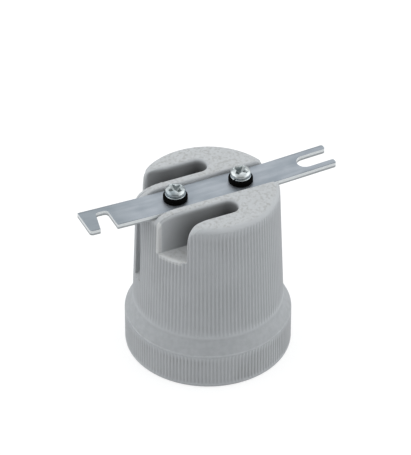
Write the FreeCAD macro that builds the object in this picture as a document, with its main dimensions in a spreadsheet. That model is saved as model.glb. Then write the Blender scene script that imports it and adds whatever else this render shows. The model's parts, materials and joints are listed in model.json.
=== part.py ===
import FreeCAD, Part
import math
import os
import Sketcher

# Ceramic lamp holder with a steel mounting strap, in millimetres.
# The holder stands on its open mouth. The origin is the centre of the mouth, +Z goes up the
# holder's axis and the strap lies along X, its hook end at -X and its fork end at +X.

SIZES = [
    # Porcelain, outside
    ("skirt_radius", 24.0),
    ("total_height", 54.0),
    ("band_height", 11.8),
    ("foot_bevel", 0.7),
    ("band_step", 0.3),
    ("shoulder_height", 4.3),
    ("shoulder_bevel", 0.6),
    ("drum_foot_radius", 21.65),
    ("drum_top_radius", 20.3),
    ("rim_round", 2.0),
    # Ribs, moulded round the drum and round the band
    ("drum_rib_count", 120),
    ("band_rib_count", 144),
    ("rib_depth", 0.22),
    ("rib_run_out", 0.8),
    # Porcelain, inside
    ("mouth_radius", 16.4),
    ("mouth_depth", 7.4),
    ("mouth_bevel", 0.8),
    ("mouth_taper", 1.6),
    ("floor_height", 30.0),
    ("recess_depth", 4.7),
    ("recess_radius", 13.0),
    ("foot_notch_gap", 0.4),
    # Wire slots in the top, one on each side of the middle bar
    ("bar_width", 15.5),
    ("slot_width", 5.5),
    ("slot_depth", 12.7),
    ("slot_end", 4.2),
    ("slot_bevel", 0.6),
    ("flare_start", 5.5),
    ("flare_radius", 18.0),
    ("well_length", 12.1),
    ("well_depth", 19.0),
    ("flare_reach", 19.0),
    # Moulded groove down the end of the middle bar
    ("key_groove_width", 4.2),
    ("key_groove_depth", 1.3),
    ("key_groove_offset", 2.7),
    ("key_groove_foot", 26.0),
    # Mounting strap
    ("strap_width", 9.3),
    ("strap_thickness", 1.5),
    ("strap_length", 75.8),
    ("strap_side_gap", 0.35),
    ("channel_depth", 3.05),
    ("strap_bend_at", 19.5),
    ("hook_end_rise", 0.55),
    ("fork_end_rise", 0.8),
    ("fork_slot_width", 5.3),
    ("fork_slot_length", 10.1),
    ("fork_tip_round", 0.6),
    ("hook_spine", 1.85),
    ("hook_notch_near", 29.7),
    ("hook_notch_root", 3.6),
    ("hook_notch_mouth", 5.2),
    ("hook_round", 1.1),
    ("hook_tip_round", 0.9),
    # Strap screws, with their washers and nuts
    ("screw_spacing", 20.2),
    ("screw_radius", 1.45),
    ("screw_length", 22.0),
    ("screw_hole_radius", 1.8),
    ("strap_hole_radius", 2.1),
    ("head_radius", 2.95),
    ("head_height", 2.2),
    ("head_round", 1.3),
    ("head_cross_length", 3.4),
    ("head_cross_width", 0.75),
    ("head_cross_depth", 1.2),
    ("washer_radius", 3.6),
    ("washer_hole_radius", 1.65),
    ("washer_thickness", 1.1),
    ("spring_washer_radius", 2.95),
    ("spring_washer_thickness", 0.7),
    ("spring_washer_split", 0.5),
    ("nut_width", 5.5),
    ("nut_height", 2.4),
    ("nut_gap", 0.1),
    ("nut_pocket_depth", 5.0),
    # Threaded shell that takes the lamp cap
    ("shell_bore_radius", 13.25),
    ("shell_sheet", 0.4),
    ("shell_side_gap", 0.35),
    ("shell_foot_width", 6.0),
    ("shell_foot_reach", 5.7),
    ("shell_foot_inset", 0.12),
    # Terminals, one at the end of each wire slot
    ("plate_width", 4.9),
    ("plate_thickness", 1.8),
    ("plate_end_gap", 0.3),
    ("wire_screw_place", 4.9),
    ("wire_screw_radius", 1.4),
    ("wire_screw_length", 5.5),
    ("wire_screw_gap", 0.1),
    ("wire_screw_relief", 0.7),
    ("wire_screw_tail_gap", 0.4),
    ("wire_head_radius", 2.45),
    ("wire_head_height", 1.8),
    ("driver_slot_width", 0.7),
    ("driver_slot_depth", 0.9),
    ("clamp_width", 4.8),
    ("clamp_thickness", 0.9),
    ("clamp_hole_gap", 0.25),
    # Screws that tie each inner contact to its terminal
    ("inner_screw_radius", 1.2),
    ("inner_screw_gap", 0.35),
    ("inner_screw_thread_gap", 0.05),
    ("inner_screw_bite", 1.6),
    ("inner_head_radius", 2.2),
    ("inner_head_height", 1.4),
    # Sprung contact for the lamp's centre
    ("contact_sheet", 0.6),
    ("contact_width", 5.0),
    ("contact_pad_length", 4.9),
    ("contact_pad_overhang", 2.0),
    ("contact_drop", 3.9),
    ("contact_tip_half", 2.4),
    ("contact_curl", 1.1),
]

# How far a bend's inner corner lags behind its outer one, as a share of the contact's sheet
CONTACT_MITRE = 0.4

# How many flats stand for the round of the porcelain's rim and of a screw's head
RIM_FLATS = 3
HEAD_FLATS = 1

# How much wider than the ribs' spacing each groove's tool is, so that neighbours meet in a ridge
RIB_LAP = 1.15

# How far outside the surface a groove's tool starts where the groove runs out by itself
RIB_CLEAR = 0.02

# How closely an edge is matched when it is picked, and how far a cut runs past the surface
NEAR = 1e-4
PAST = 1.0

doc = FreeCAD.newDocument("lamp_holder")
sheet = doc.addObject("Spreadsheet::Sheet", "Sizes")
for line, (word, number) in enumerate(SIZES, start=1):
    sheet.set("A%d" % line, word)
    sheet.set("B%d" % line, str(number))
    sheet.setAlias("B%d" % line, word)
doc.recompute()


class Size:
    """A length with its present value and the sheet formula behind it."""

    def __init__(self, value, formula):
        self.value = value
        self.formula = formula

    def __add__(self, other):
        other = sized(other)
        return Size(self.value + other.value, "(%s + %s)" % (self.formula, other.formula))

    def __sub__(self, other):
        other = sized(other)
        return Size(self.value - other.value, "(%s - %s)" % (self.formula, other.formula))

    def __mul__(self, other):
        other = sized(other)
        return Size(self.value * other.value, "(%s * %s)" % (self.formula, other.formula))

    def __truediv__(self, other):
        other = sized(other)
        return Size(self.value / other.value, "(%s / %s)" % (self.formula, other.formula))

    def __radd__(self, other):
        return sized(other) + self

    def __rsub__(self, other):
        return sized(other) - self

    def __rmul__(self, other):
        return sized(other) * self

    def __neg__(self):
        return sized(0) - self


def sized(number):
    """Gives a plain number the form of a Size."""
    if isinstance(number, Size):
        return number
    return Size(float(number), repr(float(number)))


def root(square):
    """The square root of a Size."""
    return Size(math.sqrt(square.value), "sqrt(%s)" % square.formula)


def size(word):
    """A driving dimension of the sheet."""
    return Size(float(sheet.get(word)), "Sizes.%s" % word)


def new_body(label):
    body = doc.addObject("PartDesign::Body", label)
    body.Label = label
    return body


def new_sketch(body, role, name, offset=0):
    """Starts a sketch on one of the body's own planes, lifted by an offset along its normal."""
    sketch = body.newObject("Sketcher::SketchObject", "%s_%s" % (body.Name, name))
    plane = [p for p in body.Origin.OriginFeatures if p.Role == role][0]
    sketch.AttachmentSupport = [(plane, "")]
    sketch.MapMode = "FlatFace"
    sketch.setExpression(".AttachmentOffset.Base.z", sized(offset).formula)
    return sketch


def pin_point(sketch, edge, end, place):
    """Ties one point of the sketch to its two coordinates."""
    axis_edge = {"DistanceX": -2, "DistanceY": -1}
    for kind, coordinate in zip(("DistanceX", "DistanceY"), place):
        coordinate = sized(coordinate)
        if abs(coordinate.value) < NEAR:
            sketch.addConstraint(Sketcher.Constraint("PointOnObject", edge, end, axis_edge[kind]))
            continue
        tie = sketch.addConstraint(Sketcher.Constraint(kind, -1, 1, edge, end, coordinate.value))
        sketch.setExpression("Constraints[%d]" % tie, coordinate.formula)


def draw_outline(sketch, corners, arcs=None):
    """Draws a closed outline through the corners, given in turn.

    arcs gives, for an edge's number, the centre of a round edge and whether it turns left.
    """
    arcs = arcs or {}
    ends = []
    for number, corner in enumerate(corners):
        start = [sized(c).value for c in corner]
        end = [sized(c).value for c in corners[(number + 1) % len(corners)]]
        if number not in arcs:
            line = Part.LineSegment(FreeCAD.Vector(*start, 0), FreeCAD.Vector(*end, 0))
            ends.append((sketch.addGeometry(line), 1, 2))
            continue
        centre, turns_left = arcs[number]
        middle = [sized(c).value for c in centre]
        radius = math.hypot(start[0] - middle[0], start[1] - middle[1])
        angles = [math.atan2(p[1] - middle[1], p[0] - middle[0]) for p in (start, end)]
        if not turns_left:
            angles.reverse()
        circle = Part.Circle(FreeCAD.Vector(*middle, 0), FreeCAD.Vector(0, 0, 1), radius)
        edge = sketch.addGeometry(Part.ArcOfCircle(circle, angles[0], angles[1]))
        ends.append((edge, 1, 2) if turns_left else (edge, 2, 1))
    for number, (edge, first, last) in enumerate(ends):
        following, its_first, its_last = ends[(number + 1) % len(ends)]
        sketch.addConstraint(Sketcher.Constraint("Coincident", edge, last, following, its_first))
        pin_point(sketch, edge, first, corners[number])
        if number in arcs:
            across = sized(arcs[number][0][0])
            if abs(across.value) < NEAR:
                sketch.addConstraint(Sketcher.Constraint("PointOnObject", edge, 3, -2))
            else:
                tie = sketch.addConstraint(
                    Sketcher.Constraint("DistanceX", -1, 1, edge, 3, across.value))
                sketch.setExpression("Constraints[%d]" % tie, across.formula)
    return sketch


def draw_box(sketch, low, high):
    corners = [low, (high[0], low[1]), high, (low[0], high[1])]
    return draw_outline(sketch, corners)


def draw_circle(sketch, centre, radius):
    radius = sized(radius)
    middle = FreeCAD.Vector(sized(centre[0]).value, sized(centre[1]).value, 0)
    edge = sketch.addGeometry(Part.Circle(middle, FreeCAD.Vector(0, 0, 1), radius.value))
    pin_point(sketch, edge, 3, centre)
    tie = sketch.addConstraint(Sketcher.Constraint("Radius", edge, radius.value))
    sketch.setExpression("Constraints[%d]" % tie, radius.formula)
    return sketch


def draw_hexagon(sketch, centre, width):
    """A hexagon with two of its flats square to the sketch's first axis."""
    half = sized(width) / 2
    corner = half * (2 / math.sqrt(3))
    side = corner / 2
    across, along = centre
    points = [(half, -side), (half, side), (0, corner), (-half, side), (-half, -side), (0, -corner)]
    return draw_outline(sketch, [(across + x, along + y) for x, y in points])


def pull(body, kind, sketch, length, backward=False, both_ways=False):
    """Pads or pockets a sketch by a bound length."""
    feature = body.newObject("PartDesign::%s" % kind, "%s_%s" % (sketch.Name, kind.lower()))
    feature.Profile = sketch
    feature.setExpression("Length", sized(length).formula)
    feature.Reversed = backward
    feature.Midplane = both_ways
    doc.recompute()
    return feature


def spin(body, kind, sketch):
    """Turns a sketch on the XZ plane once round the Z axis, to add or to cut."""
    feature = body.newObject("PartDesign::%s" % kind, "%s_%s" % (sketch.Name, kind.lower()))
    feature.Profile = sketch
    feature.ReferenceAxis = (sketch, ["V_Axis"])
    feature.Angle = 360
    doc.recompute()
    return feature


def finish_edges(body, kind, bound, name, amount, chosen):
    """Puts one Fillet or Chamfer on the edges of the body for which the test holds."""
    base = body.Tip
    names = ["Edge%d" % n for n, edge in enumerate(base.Shape.Edges, start=1) if chosen(edge)]
    feature = body.newObject("PartDesign::%s" % kind, "%s_%s" % (body.Name, name))
    feature.Base = (base, names)
    feature.setExpression(bound, sized(amount).formula)
    doc.recompute()
    return feature


def round_edges(body, name, radius, chosen):
    return finish_edges(body, "Fillet", "Radius", name, radius, chosen)


def bevel_edges(body, name, width, chosen):
    return finish_edges(body, "Chamfer", "Size", name, width, chosen)


def eased(centre, radius, flats):
    """The corners of a quarter round drawn as a few flats, from its side up to its top."""
    turns = [math.pi / 2 * step / flats for step in range(flats + 1)]
    across, up = centre
    return [(across + radius * math.cos(turn), up + radius * math.sin(turn)) for turn in turns]


def ring_at(height, radius=None):
    """Picks the circular edges round the Z axis at a height, and at a radius if one is given."""
    def chosen(edge):
        curve = edge.Curve
        if not isinstance(curve, Part.Circle):
            return False
        if math.hypot(curve.Center.x, curve.Center.y) > NEAR:
            return False
        if radius is not None and abs(curve.Radius - sized(radius).value) > NEAR:
            return False
        return abs(curve.Center.z - sized(height).value) < NEAR
    return chosen


def upright_where(test):
    """Picks the straight upright edges whose place in plan passes the test."""
    def chosen(edge):
        if not isinstance(edge.Curve, Part.Line):
            return False
        if abs(edge.tangentAt(edge.FirstParameter).z) < 1 - NEAR:
            return False
        return test(edge.CenterOfMass.x, edge.CenterOfMass.y)
    return chosen


def place(body, across=0, along=0, up=0):
    """Moves a finished piece to its place in the holder."""
    for axis, distance in zip("xyz", (across, along, up)):
        body.setExpression(".Placement.Base.%s" % axis, sized(distance).formula)


def repeat_round(body, feature, count):
    """Repeats a cut evenly round the Z axis. No faces are merged, as the ribs have none to merge."""
    feature.Refine = False
    pattern = body.newObject("PartDesign::PolarPattern", "%s_round" % feature.Name)
    pattern.Originals = [feature]
    pattern.Refine = False
    axis = [a for a in body.Origin.OriginFeatures if a.Role == "Z_Axis"][0]
    pattern.Axis = (axis, [""])
    pattern.Angle = 360
    pattern.setExpression("Occurrences", sized(count).formula)
    body.Tip = pattern
    doc.recompute()
    return pattern


# Levels and places that several pieces share
TOP = size("total_height")
FLOOR = size("floor_height")
LEDGE = FLOOR - size("recess_depth")
WELL_FLOOR = TOP - size("well_depth")
CHANNEL_FLOOR = TOP - size("channel_depth")
STRAP_TOP = CHANNEL_FLOOR + size("strap_thickness")
SLOT_INNER = size("bar_width") / 2
SLOT_OUTER = SLOT_INNER + size("slot_width")
SLOT_MIDDLE = SLOT_INNER + size("slot_width") / 2
SLOT_END_CENTRE = size("slot_end") - size("slot_width") / 2
WELL_START = size("slot_end") - size("well_length")
SCREW_PLACE = size("screw_spacing") / 2
SHELL_OUTER = size("shell_bore_radius") + size("shell_sheet")
BORE_RADIUS = SHELL_OUTER + size("shell_side_gap")
SHELL_FOOT = size("mouth_depth") + size("mouth_taper")
NUT_SEAT = FLOOR + size("nut_pocket_depth")
RIM = eased((size("drum_top_radius") - size("rim_round"), TOP - size("rim_round")),
            size("rim_round"), RIM_FLATS)


def make_porcelain():
    """One glazed casting: ribbed drum on a ribbed band, bored from below and slotted on top."""
    body = new_body("porcelain_body")
    shoulder = size("band_height") + size("shoulder_height")

    outline = new_sketch(body, "XZ_Plane", "outline")
    draw_outline(outline, [
        (0, 0),
        (size("skirt_radius") - size("foot_bevel"), 0),
        (size("skirt_radius") - size("band_step"), size("foot_bevel")),
        (size("skirt_radius"), size("foot_bevel")),
        (size("skirt_radius"), size("band_height")),
        (size("skirt_radius") - size("band_step"), size("band_height")),
        (size("drum_foot_radius"), shoulder),
    ] + RIM + [(0, TOP)])
    spin(body, "Revolution", outline)

    bore = new_sketch(body, "XZ_Plane", "bore")
    draw_outline(bore, [
        (0, -PAST),
        (size("mouth_radius"), -PAST),
        (size("mouth_radius"), size("mouth_depth")),
        (BORE_RADIUS, SHELL_FOOT),
        (BORE_RADIUS, LEDGE),
        (size("recess_radius"), LEDGE),
        (size("recess_radius"), FLOOR),
        (0, FLOOR),
    ])
    spin(body, "Groove", bore)
    bevel_edges(body, "mouth_bevel", size("mouth_bevel"), ring_at(0, size("mouth_radius")))
    bevel_edges(body, "shoulder_bevel", size("shoulder_bevel"), ring_at(shoulder))

    for side, name in ((-1, "near"), (1, "far")):
        cut_wire_slot(body, side, name)
    channel = new_sketch(body, "XY_Plane", "channel", TOP)
    half = size("strap_width") / 2 + size("strap_side_gap")
    reach = size("skirt_radius")
    draw_box(channel, (-reach, -half), (reach, half))
    pull(body, "Pocket", channel, size("channel_depth"))
    bevel_slot_edges(body)
    cut_holes(body)
    cut_ribs(body, shoulder)
    return body


def cut_wire_slot(body, side, name):
    """A slot open at the hook end: round at its blind end, flared at its mouth, with a well."""
    inner = side * SLOT_INNER
    outer = side * SLOT_OUTER
    middle = side * SLOT_MIDDLE
    reach = size("skirt_radius")
    flare = size("flare_radius")
    flare_end = size("flare_reach")
    spread = flare_end - size("flare_start")
    flare_out = side * (SLOT_OUTER + flare - root(flare * flare - spread * spread))
    slot = new_sketch(body, "XY_Plane", "%s_slot" % name, TOP)
    draw_outline(slot, [
        (-reach, inner),
        (SLOT_END_CENTRE, inner),
        (SLOT_END_CENTRE, outer),
        (-size("flare_start"), outer),
        (-flare_end, flare_out),
        (-reach, flare_out),
    ], {
        1: ((SLOT_END_CENTRE, middle), side > 0),
        3: ((-size("flare_start"), side * (SLOT_OUTER + flare)), side < 0),
    })
    pull(body, "Pocket", slot, size("slot_depth"))
    well = new_sketch(body, "XY_Plane", "%s_well" % name, TOP)
    draw_outline(well, [
        (WELL_START, inner),
        (SLOT_END_CENTRE, inner),
        (SLOT_END_CENTRE, outer),
        (WELL_START, outer),
    ], {1: ((SLOT_END_CENTRE, middle), side > 0)})
    pull(body, "Pocket", well, size("well_depth"))


def bevel_slot_edges(body):
    """Softens the slots' edges along the flat top."""
    on_the_rim = ring_at(TOP)

    def chosen(edge):
        points = edge.discretize(5)
        on_top = all(abs(point.z - TOP.value) < NEAR for point in points)
        beside_slot = all(abs(point.y) > SLOT_INNER.value - NEAR for point in points)
        return on_top and beside_slot and not on_the_rim(edge)
    bevel_edges(body, "slot_bevel", size("slot_bevel"), chosen)


def cut_holes(body):
    """The strap screws' holes and nut pockets, the terminals' holes and the key groove."""
    holes = new_sketch(body, "XY_Plane", "strap_holes", TOP)
    pockets = new_sketch(body, "XY_Plane", "nut_pockets", FLOOR)
    for side in (-1, 1):
        draw_circle(holes, (side * SCREW_PLACE, 0), size("screw_hole_radius"))
        pocket_width = size("nut_width") + 2 * size("nut_gap")
        draw_hexagon(pockets, (side * SCREW_PLACE, sized(0)), pocket_width)
    pull(body, "Pocket", holes, TOP - FLOOR)
    pull(body, "Pocket", pockets, size("nut_pocket_depth"), backward=True)

    inner = new_sketch(body, "XY_Plane", "contact_holes", FLOOR)
    relief = new_sketch(body, "XY_Plane", "screw_reliefs", WELL_FLOOR)
    relief_depth = (size("wire_screw_length") - size("clamp_thickness") - size("plate_thickness")
                    + size("wire_screw_tail_gap"))
    room = size("wire_screw_radius") + size("wire_screw_relief")
    for side in (-1, 1):
        draw_circle(inner, (0, side * SLOT_MIDDLE), size("inner_screw_radius") + size("inner_screw_gap"))
        draw_box(relief, (-size("wire_screw_place") - room, side * SLOT_MIDDLE - room),
                 (-size("wire_screw_place") + room, side * SLOT_MIDDLE + room))
    pull(body, "Pocket", inner, WELL_FLOOR - FLOOR, backward=True)
    pull(body, "Pocket", relief, relief_depth)

    notch = new_sketch(body, "XY_Plane", "foot_notch", LEDGE)
    half = size("shell_foot_width") / 2 + size("foot_notch_gap")
    draw_box(notch, (-half, -BORE_RADIUS), (half, -size("recess_radius") + PAST))
    pull(body, "Pocket", notch, size("recess_depth"), backward=True)

    key = new_sketch(body, "XY_Plane", "key_groove", TOP)
    low = size("key_groove_offset") - size("key_groove_width") / 2
    high = size("key_groove_offset") + size("key_groove_width") / 2
    draw_box(key, (-size("skirt_radius"), low), (-size("drum_top_radius") + size("key_groove_depth"), high))
    pull(body, "Pocket", key, TOP - size("key_groove_foot"))


def cut_ribs(body, shoulder):
    """Grooves that leave ribs between them: slanted ones up the drum, upright ones round the band."""
    slope = (size("drum_foot_radius") - size("drum_top_radius")) / (RIM[0][1] - shoulder)
    foot = shoulder + size("shoulder_bevel")
    full = foot + size("rib_run_out")
    head = RIM[1][1]
    floor = size("drum_foot_radius") - size("rib_depth")
    drum = [
        ("foot", foot, size("drum_foot_radius") - slope * (foot - shoulder) + RIB_CLEAR),
        ("full", full, floor - slope * (full - shoulder)),
        ("head", head, floor - slope * (head - shoulder)),
    ]
    sections = []
    for name, level, radius in drum:
        section = new_sketch(body, "XY_Plane", "drum_groove_%s" % name, level)
        sections.append(draw_groove(section, radius, size("drum_rib_count")))
    groove = body.newObject("PartDesign::SubtractiveLoft", "drum_groove")
    groove.Profile = sections[0]
    groove.Sections = sections[1:]
    groove.Ruled = True
    doc.recompute()
    repeat_round(body, groove, size("drum_rib_count"))
    band = draw_groove(new_sketch(body, "XY_Plane", "band_groove"),
                       size("skirt_radius") - size("rib_depth"), size("band_rib_count"))
    band_cut = pull(body, "Pocket", band, shoulder, backward=True)
    repeat_round(body, band_cut, size("band_rib_count"))


def draw_groove(sketch, radius, count):
    """A groove's three-cornered section, from its floor at a radius out past the surface."""
    half = 2 * math.pi * RIB_LAP * radius / count
    return draw_outline(sketch, [
        (radius, 0),
        (radius + 2 * size("rib_depth"), half),
        (radius + 2 * size("rib_depth"), -half),
    ])


def make_shell():
    """Rolled brass shell: a tube under the ledge, with one bent foot that carries the current."""
    body = new_body("screw_shell")
    wall = new_sketch(body, "XZ_Plane", "wall")
    inner = size("shell_bore_radius")
    draw_box(wall, (inner, SHELL_FOOT), (SHELL_OUTER, LEDGE))
    spin(body, "Revolution", wall)
    foot = new_sketch(body, "YZ_Plane", "foot")
    outside = size("shell_foot_inset") - SHELL_OUTER
    inside = outside + size("shell_sheet")
    toe = size("shell_foot_reach") - SHELL_OUTER
    draw_outline(foot, [
        (outside, LEDGE),
        (inside, LEDGE),
        (inside, FLOOR - size("shell_sheet")),
        (toe, FLOOR - size("shell_sheet")),
        (toe, FLOOR),
        (outside, FLOOR),
    ])
    pull(body, "Pad", foot, size("shell_foot_width"), both_ways=True)
    hole = new_sketch(body, "XY_Plane", "hole", FLOOR)
    draw_circle(hole, (0, -SLOT_MIDDLE), size("inner_screw_radius") + size("inner_screw_thread_gap"))
    pull(body, "Pocket", hole, size("shell_sheet") * 2)
    return body


def make_centre_contact():
    """Springy strip: a flat pad under its screw and a tongue bent down to the lamp's centre."""
    body = new_body("centre_contact")
    side = new_sketch(body, "YZ_Plane", "side")
    sheet_thick = size("contact_sheet")
    mitre = sheet_thick * CONTACT_MITRE
    pad_end = SLOT_MIDDLE + size("contact_pad_overhang")
    bend = pad_end - size("contact_pad_length")
    tip = size("contact_tip_half")
    low = FLOOR - size("contact_drop")
    curl = size("contact_curl")
    square_end = sheet_thick / math.sqrt(2)
    draw_outline(side, [
        (pad_end, FLOOR),
        (bend, FLOOR),
        (tip, low),
        (-tip, low),
        (-tip - curl, low + curl),
        (-tip - curl - square_end, low + curl - square_end),
        (-tip - mitre, low - sheet_thick),
        (tip + mitre, low - sheet_thick),
        (bend + mitre, FLOOR - sheet_thick),
        (pad_end, FLOOR - sheet_thick),
    ])
    pull(body, "Pad", side, size("contact_width"), both_ways=True)
    hole = new_sketch(body, "XY_Plane", "hole", FLOOR)
    draw_circle(hole, (0, SLOT_MIDDLE), size("inner_screw_radius") + size("inner_screw_thread_gap"))
    pull(body, "Pocket", hole, sheet_thick * 2)
    return body


def make_inner_screw(label, side, sheet_thick):
    """Slotted screw that rises through the porcelain into its terminal plate."""
    body = new_body(label)
    profile = new_sketch(body, "XZ_Plane", "profile")
    reach = sheet_thick + WELL_FLOOR - FLOOR + size("inner_screw_bite")
    draw_outline(profile, [
        (0, -size("inner_head_height")),
        (size("inner_head_radius"), -size("inner_head_height")),
        (size("inner_head_radius"), 0),
        (size("inner_screw_radius"), 0),
        (size("inner_screw_radius"), reach),
        (0, reach),
    ])
    spin(body, "Revolution", profile)
    cut_driver_slot(body, -size("inner_head_height"), size("inner_head_radius"), backward=True)
    place(body, 0, side * SLOT_MIDDLE, FLOOR - sheet_thick)
    return body


def cut_driver_slot(body, level, radius, backward=False):
    slot = new_sketch(body, "XY_Plane", "driver_slot", level)
    half = size("driver_slot_width") / 2
    draw_box(slot, (-radius - PAST, -half), (radius + PAST, half))
    pull(body, "Pocket", slot, size("driver_slot_depth"), backward=backward)


def make_terminal(label, side):
    """Brass plate in the well, tapped for the wire screw and for the inner screw."""
    body = new_body(label)
    half = size("plate_width") / 2
    start = WELL_START + size("plate_end_gap")
    plate = new_sketch(body, "XY_Plane", "plate")
    draw_outline(plate, [
        (start, -half),
        (SLOT_END_CENTRE, -half),
        (SLOT_END_CENTRE, half),
        (start, half),
    ], {1: ((SLOT_END_CENTRE, 0), True)})
    pull(body, "Pad", plate, size("plate_thickness"))
    holes = new_sketch(body, "XY_Plane", "holes", size("plate_thickness"))
    draw_circle(holes, (-size("wire_screw_place"), 0), size("wire_screw_radius") + size("wire_screw_gap"))
    draw_circle(holes, (0, 0), size("inner_screw_radius") + size("inner_screw_thread_gap"))
    pull(body, "Pocket", holes, size("plate_thickness"))
    place(body, 0, side * SLOT_MIDDLE, WELL_FLOOR)
    return body


def make_clamp(label, side):
    """Square clamp under the wire screw's head, which the screw lifts off the plate."""
    body = new_body(label)
    half = size("clamp_width") / 2
    square = new_sketch(body, "XY_Plane", "square")
    draw_box(square, (-half, -half), (half, half))
    draw_circle(square, (0, 0), size("wire_screw_radius") + size("clamp_hole_gap"))
    pull(body, "Pad", square, size("clamp_thickness"))
    place(body, -size("wire_screw_place"), side * SLOT_MIDDLE, WELL_FLOOR + size("plate_thickness"))
    return body


def make_wire_screw(label, side):
    """Slotted cheese-head screw that clamps the wire."""
    body = new_body(label)
    profile = new_sketch(body, "XZ_Plane", "profile")
    draw_outline(profile, [
        (0, -size("wire_screw_length")),
        (size("wire_screw_radius"), -size("wire_screw_length")),
        (size("wire_screw_radius"), 0),
        (size("wire_head_radius"), 0),
        (size("wire_head_radius"), size("wire_head_height")),
        (0, size("wire_head_height")),
    ])
    spin(body, "Revolution", profile)
    cut_driver_slot(body, size("wire_head_height"), size("wire_head_radius"))
    level = WELL_FLOOR + size("plate_thickness") + size("clamp_thickness")
    place(body, -size("wire_screw_place"), side * SLOT_MIDDLE, level)
    return body


def make_strap():
    """Zinc-plated steel strap: both arms bent up a little, a hook at one end, a fork at the other."""
    body = new_body("mounting_strap")
    half = size("strap_length") / 2
    bend = size("strap_bend_at")
    thick = size("strap_thickness")
    side = new_sketch(body, "XZ_Plane", "side")
    draw_outline(side, [
        (-half, CHANNEL_FLOOR + size("hook_end_rise")),
        (-bend, CHANNEL_FLOOR),
        (bend, CHANNEL_FLOOR),
        (half, CHANNEL_FLOOR + size("fork_end_rise")),
        (half, STRAP_TOP + size("fork_end_rise")),
        (bend, STRAP_TOP),
        (-bend, STRAP_TOP),
        (-half, STRAP_TOP + size("hook_end_rise")),
    ])
    pull(body, "Pad", side, size("strap_width"), both_ways=True)

    cut_level = STRAP_TOP + size("fork_end_rise") + size("hook_end_rise") + PAST
    cut_depth = cut_level - CHANNEL_FLOOR + PAST
    edge = size("strap_width") / 2
    slot_half = size("fork_slot_width") / 2
    round_centre = half - size("fork_slot_length") + slot_half
    fork = new_sketch(body, "XY_Plane", "fork", cut_level)
    draw_outline(fork, [
        (half + PAST, slot_half),
        (round_centre, slot_half),
        (round_centre, -slot_half),
        (half + PAST, -slot_half),
    ], {1: ((round_centre, 0), True)})
    pull(body, "Pocket", fork, cut_depth)

    near = -size("hook_notch_near")
    root_far = near - size("hook_notch_root")
    mouth_far = near - size("hook_notch_mouth")
    hook = new_sketch(body, "XY_Plane", "hook", cut_level)
    draw_outline(hook, [
        (near, -edge - PAST),
        (near, edge - size("hook_spine")),
        (root_far, edge - size("hook_spine")),
        (mouth_far, -edge),
        (mouth_far, -edge - PAST),
    ])
    pull(body, "Pocket", hook, cut_depth)

    holes = new_sketch(body, "XY_Plane", "holes", STRAP_TOP)
    for end in (-1, 1):
        draw_circle(holes, (end * SCREW_PLACE, 0), size("strap_hole_radius"))
    pull(body, "Pocket", holes, thick)

    root_level = (edge - size("hook_spine")).value
    round_edges(body, "hook_root", size("hook_round"),
                upright_where(lambda x, y: x < 0 and abs(y - root_level) < NEAR))
    round_edges(body, "hook_tip", size("hook_tip_round"),
                upright_where(lambda x, y: y < 0 and abs(x + half.value) < NEAR))
    round_edges(body, "fork_tips", size("fork_tip_round"),
                upright_where(lambda x, y: abs(x - half.value) < NEAR))
    return body


def make_strap_screw(label, side):
    """Pan-head screw with a cross recess, long enough to reach its nut under the porcelain."""
    body = new_body(label)
    profile = new_sketch(body, "XZ_Plane", "profile")
    crown = eased((size("head_radius") - size("head_round"), size("head_height") - size("head_round")),
                  size("head_round"), HEAD_FLATS)
    draw_outline(profile, [
        (0, -size("screw_length")),
        (size("screw_radius"), -size("screw_length")),
        (size("screw_radius"), 0),
        (size("head_radius"), 0),
    ] + crown + [(0, size("head_height"))])
    spin(body, "Revolution", profile)
    cross = new_sketch(body, "XY_Plane", "cross", size("head_height"))
    arm = size("head_cross_length") / 2
    half = size("head_cross_width") / 2
    quarter = [(arm, -half), (arm, half), (half, half), (half, arm), (-half, arm), (-half, half)]
    draw_outline(cross, quarter + [(-x, -y) for x, y in quarter])
    pull(body, "Pocket", cross, size("head_cross_depth"))
    level = STRAP_TOP + size("washer_thickness") + size("spring_washer_thickness")
    place(body, side * SCREW_PLACE, 0, level)
    return body


def make_spring_washer(label, side):
    """Split spring washer, shown pressed flat under the screw's head."""
    body = new_body(label)
    ring = new_sketch(body, "XY_Plane", "ring")
    draw_circle(ring, (0, 0), size("spring_washer_radius"))
    draw_circle(ring, (0, 0), size("washer_hole_radius"))
    pull(body, "Pad", ring, size("spring_washer_thickness"))
    split = new_sketch(body, "XY_Plane", "split", size("spring_washer_thickness"))
    half = size("spring_washer_split") / 2
    draw_box(split, (0, -half), (size("spring_washer_radius") + PAST, half))
    pull(body, "Pocket", split, size("spring_washer_thickness"))
    place(body, side * SCREW_PLACE, 0, STRAP_TOP + size("washer_thickness"))
    return body


def make_washer(label, side):
    """Black washer, which lies on the strap."""
    body = new_body(label)
    ring = new_sketch(body, "XY_Plane", "ring")
    draw_circle(ring, (0, 0), size("washer_radius"))
    draw_circle(ring, (0, 0), size("washer_hole_radius"))
    pull(body, "Pad", ring, size("washer_thickness"))
    place(body, side * SCREW_PLACE, 0, STRAP_TOP)
    return body


def make_nut(label, side):
    """Hexagon nut that sits in its pocket in the porcelain's floor."""
    body = new_body(label)
    hexagon = new_sketch(body, "XY_Plane", "hexagon")
    draw_hexagon(hexagon, (sized(0), sized(0)), size("nut_width"))
    draw_circle(hexagon, (0, 0), size("screw_radius") + size("inner_screw_thread_gap"))
    pull(body, "Pad", hexagon, size("nut_height"))
    place(body, side * SCREW_PLACE, 0, NUT_SEAT - size("nut_height"))
    return body


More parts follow.
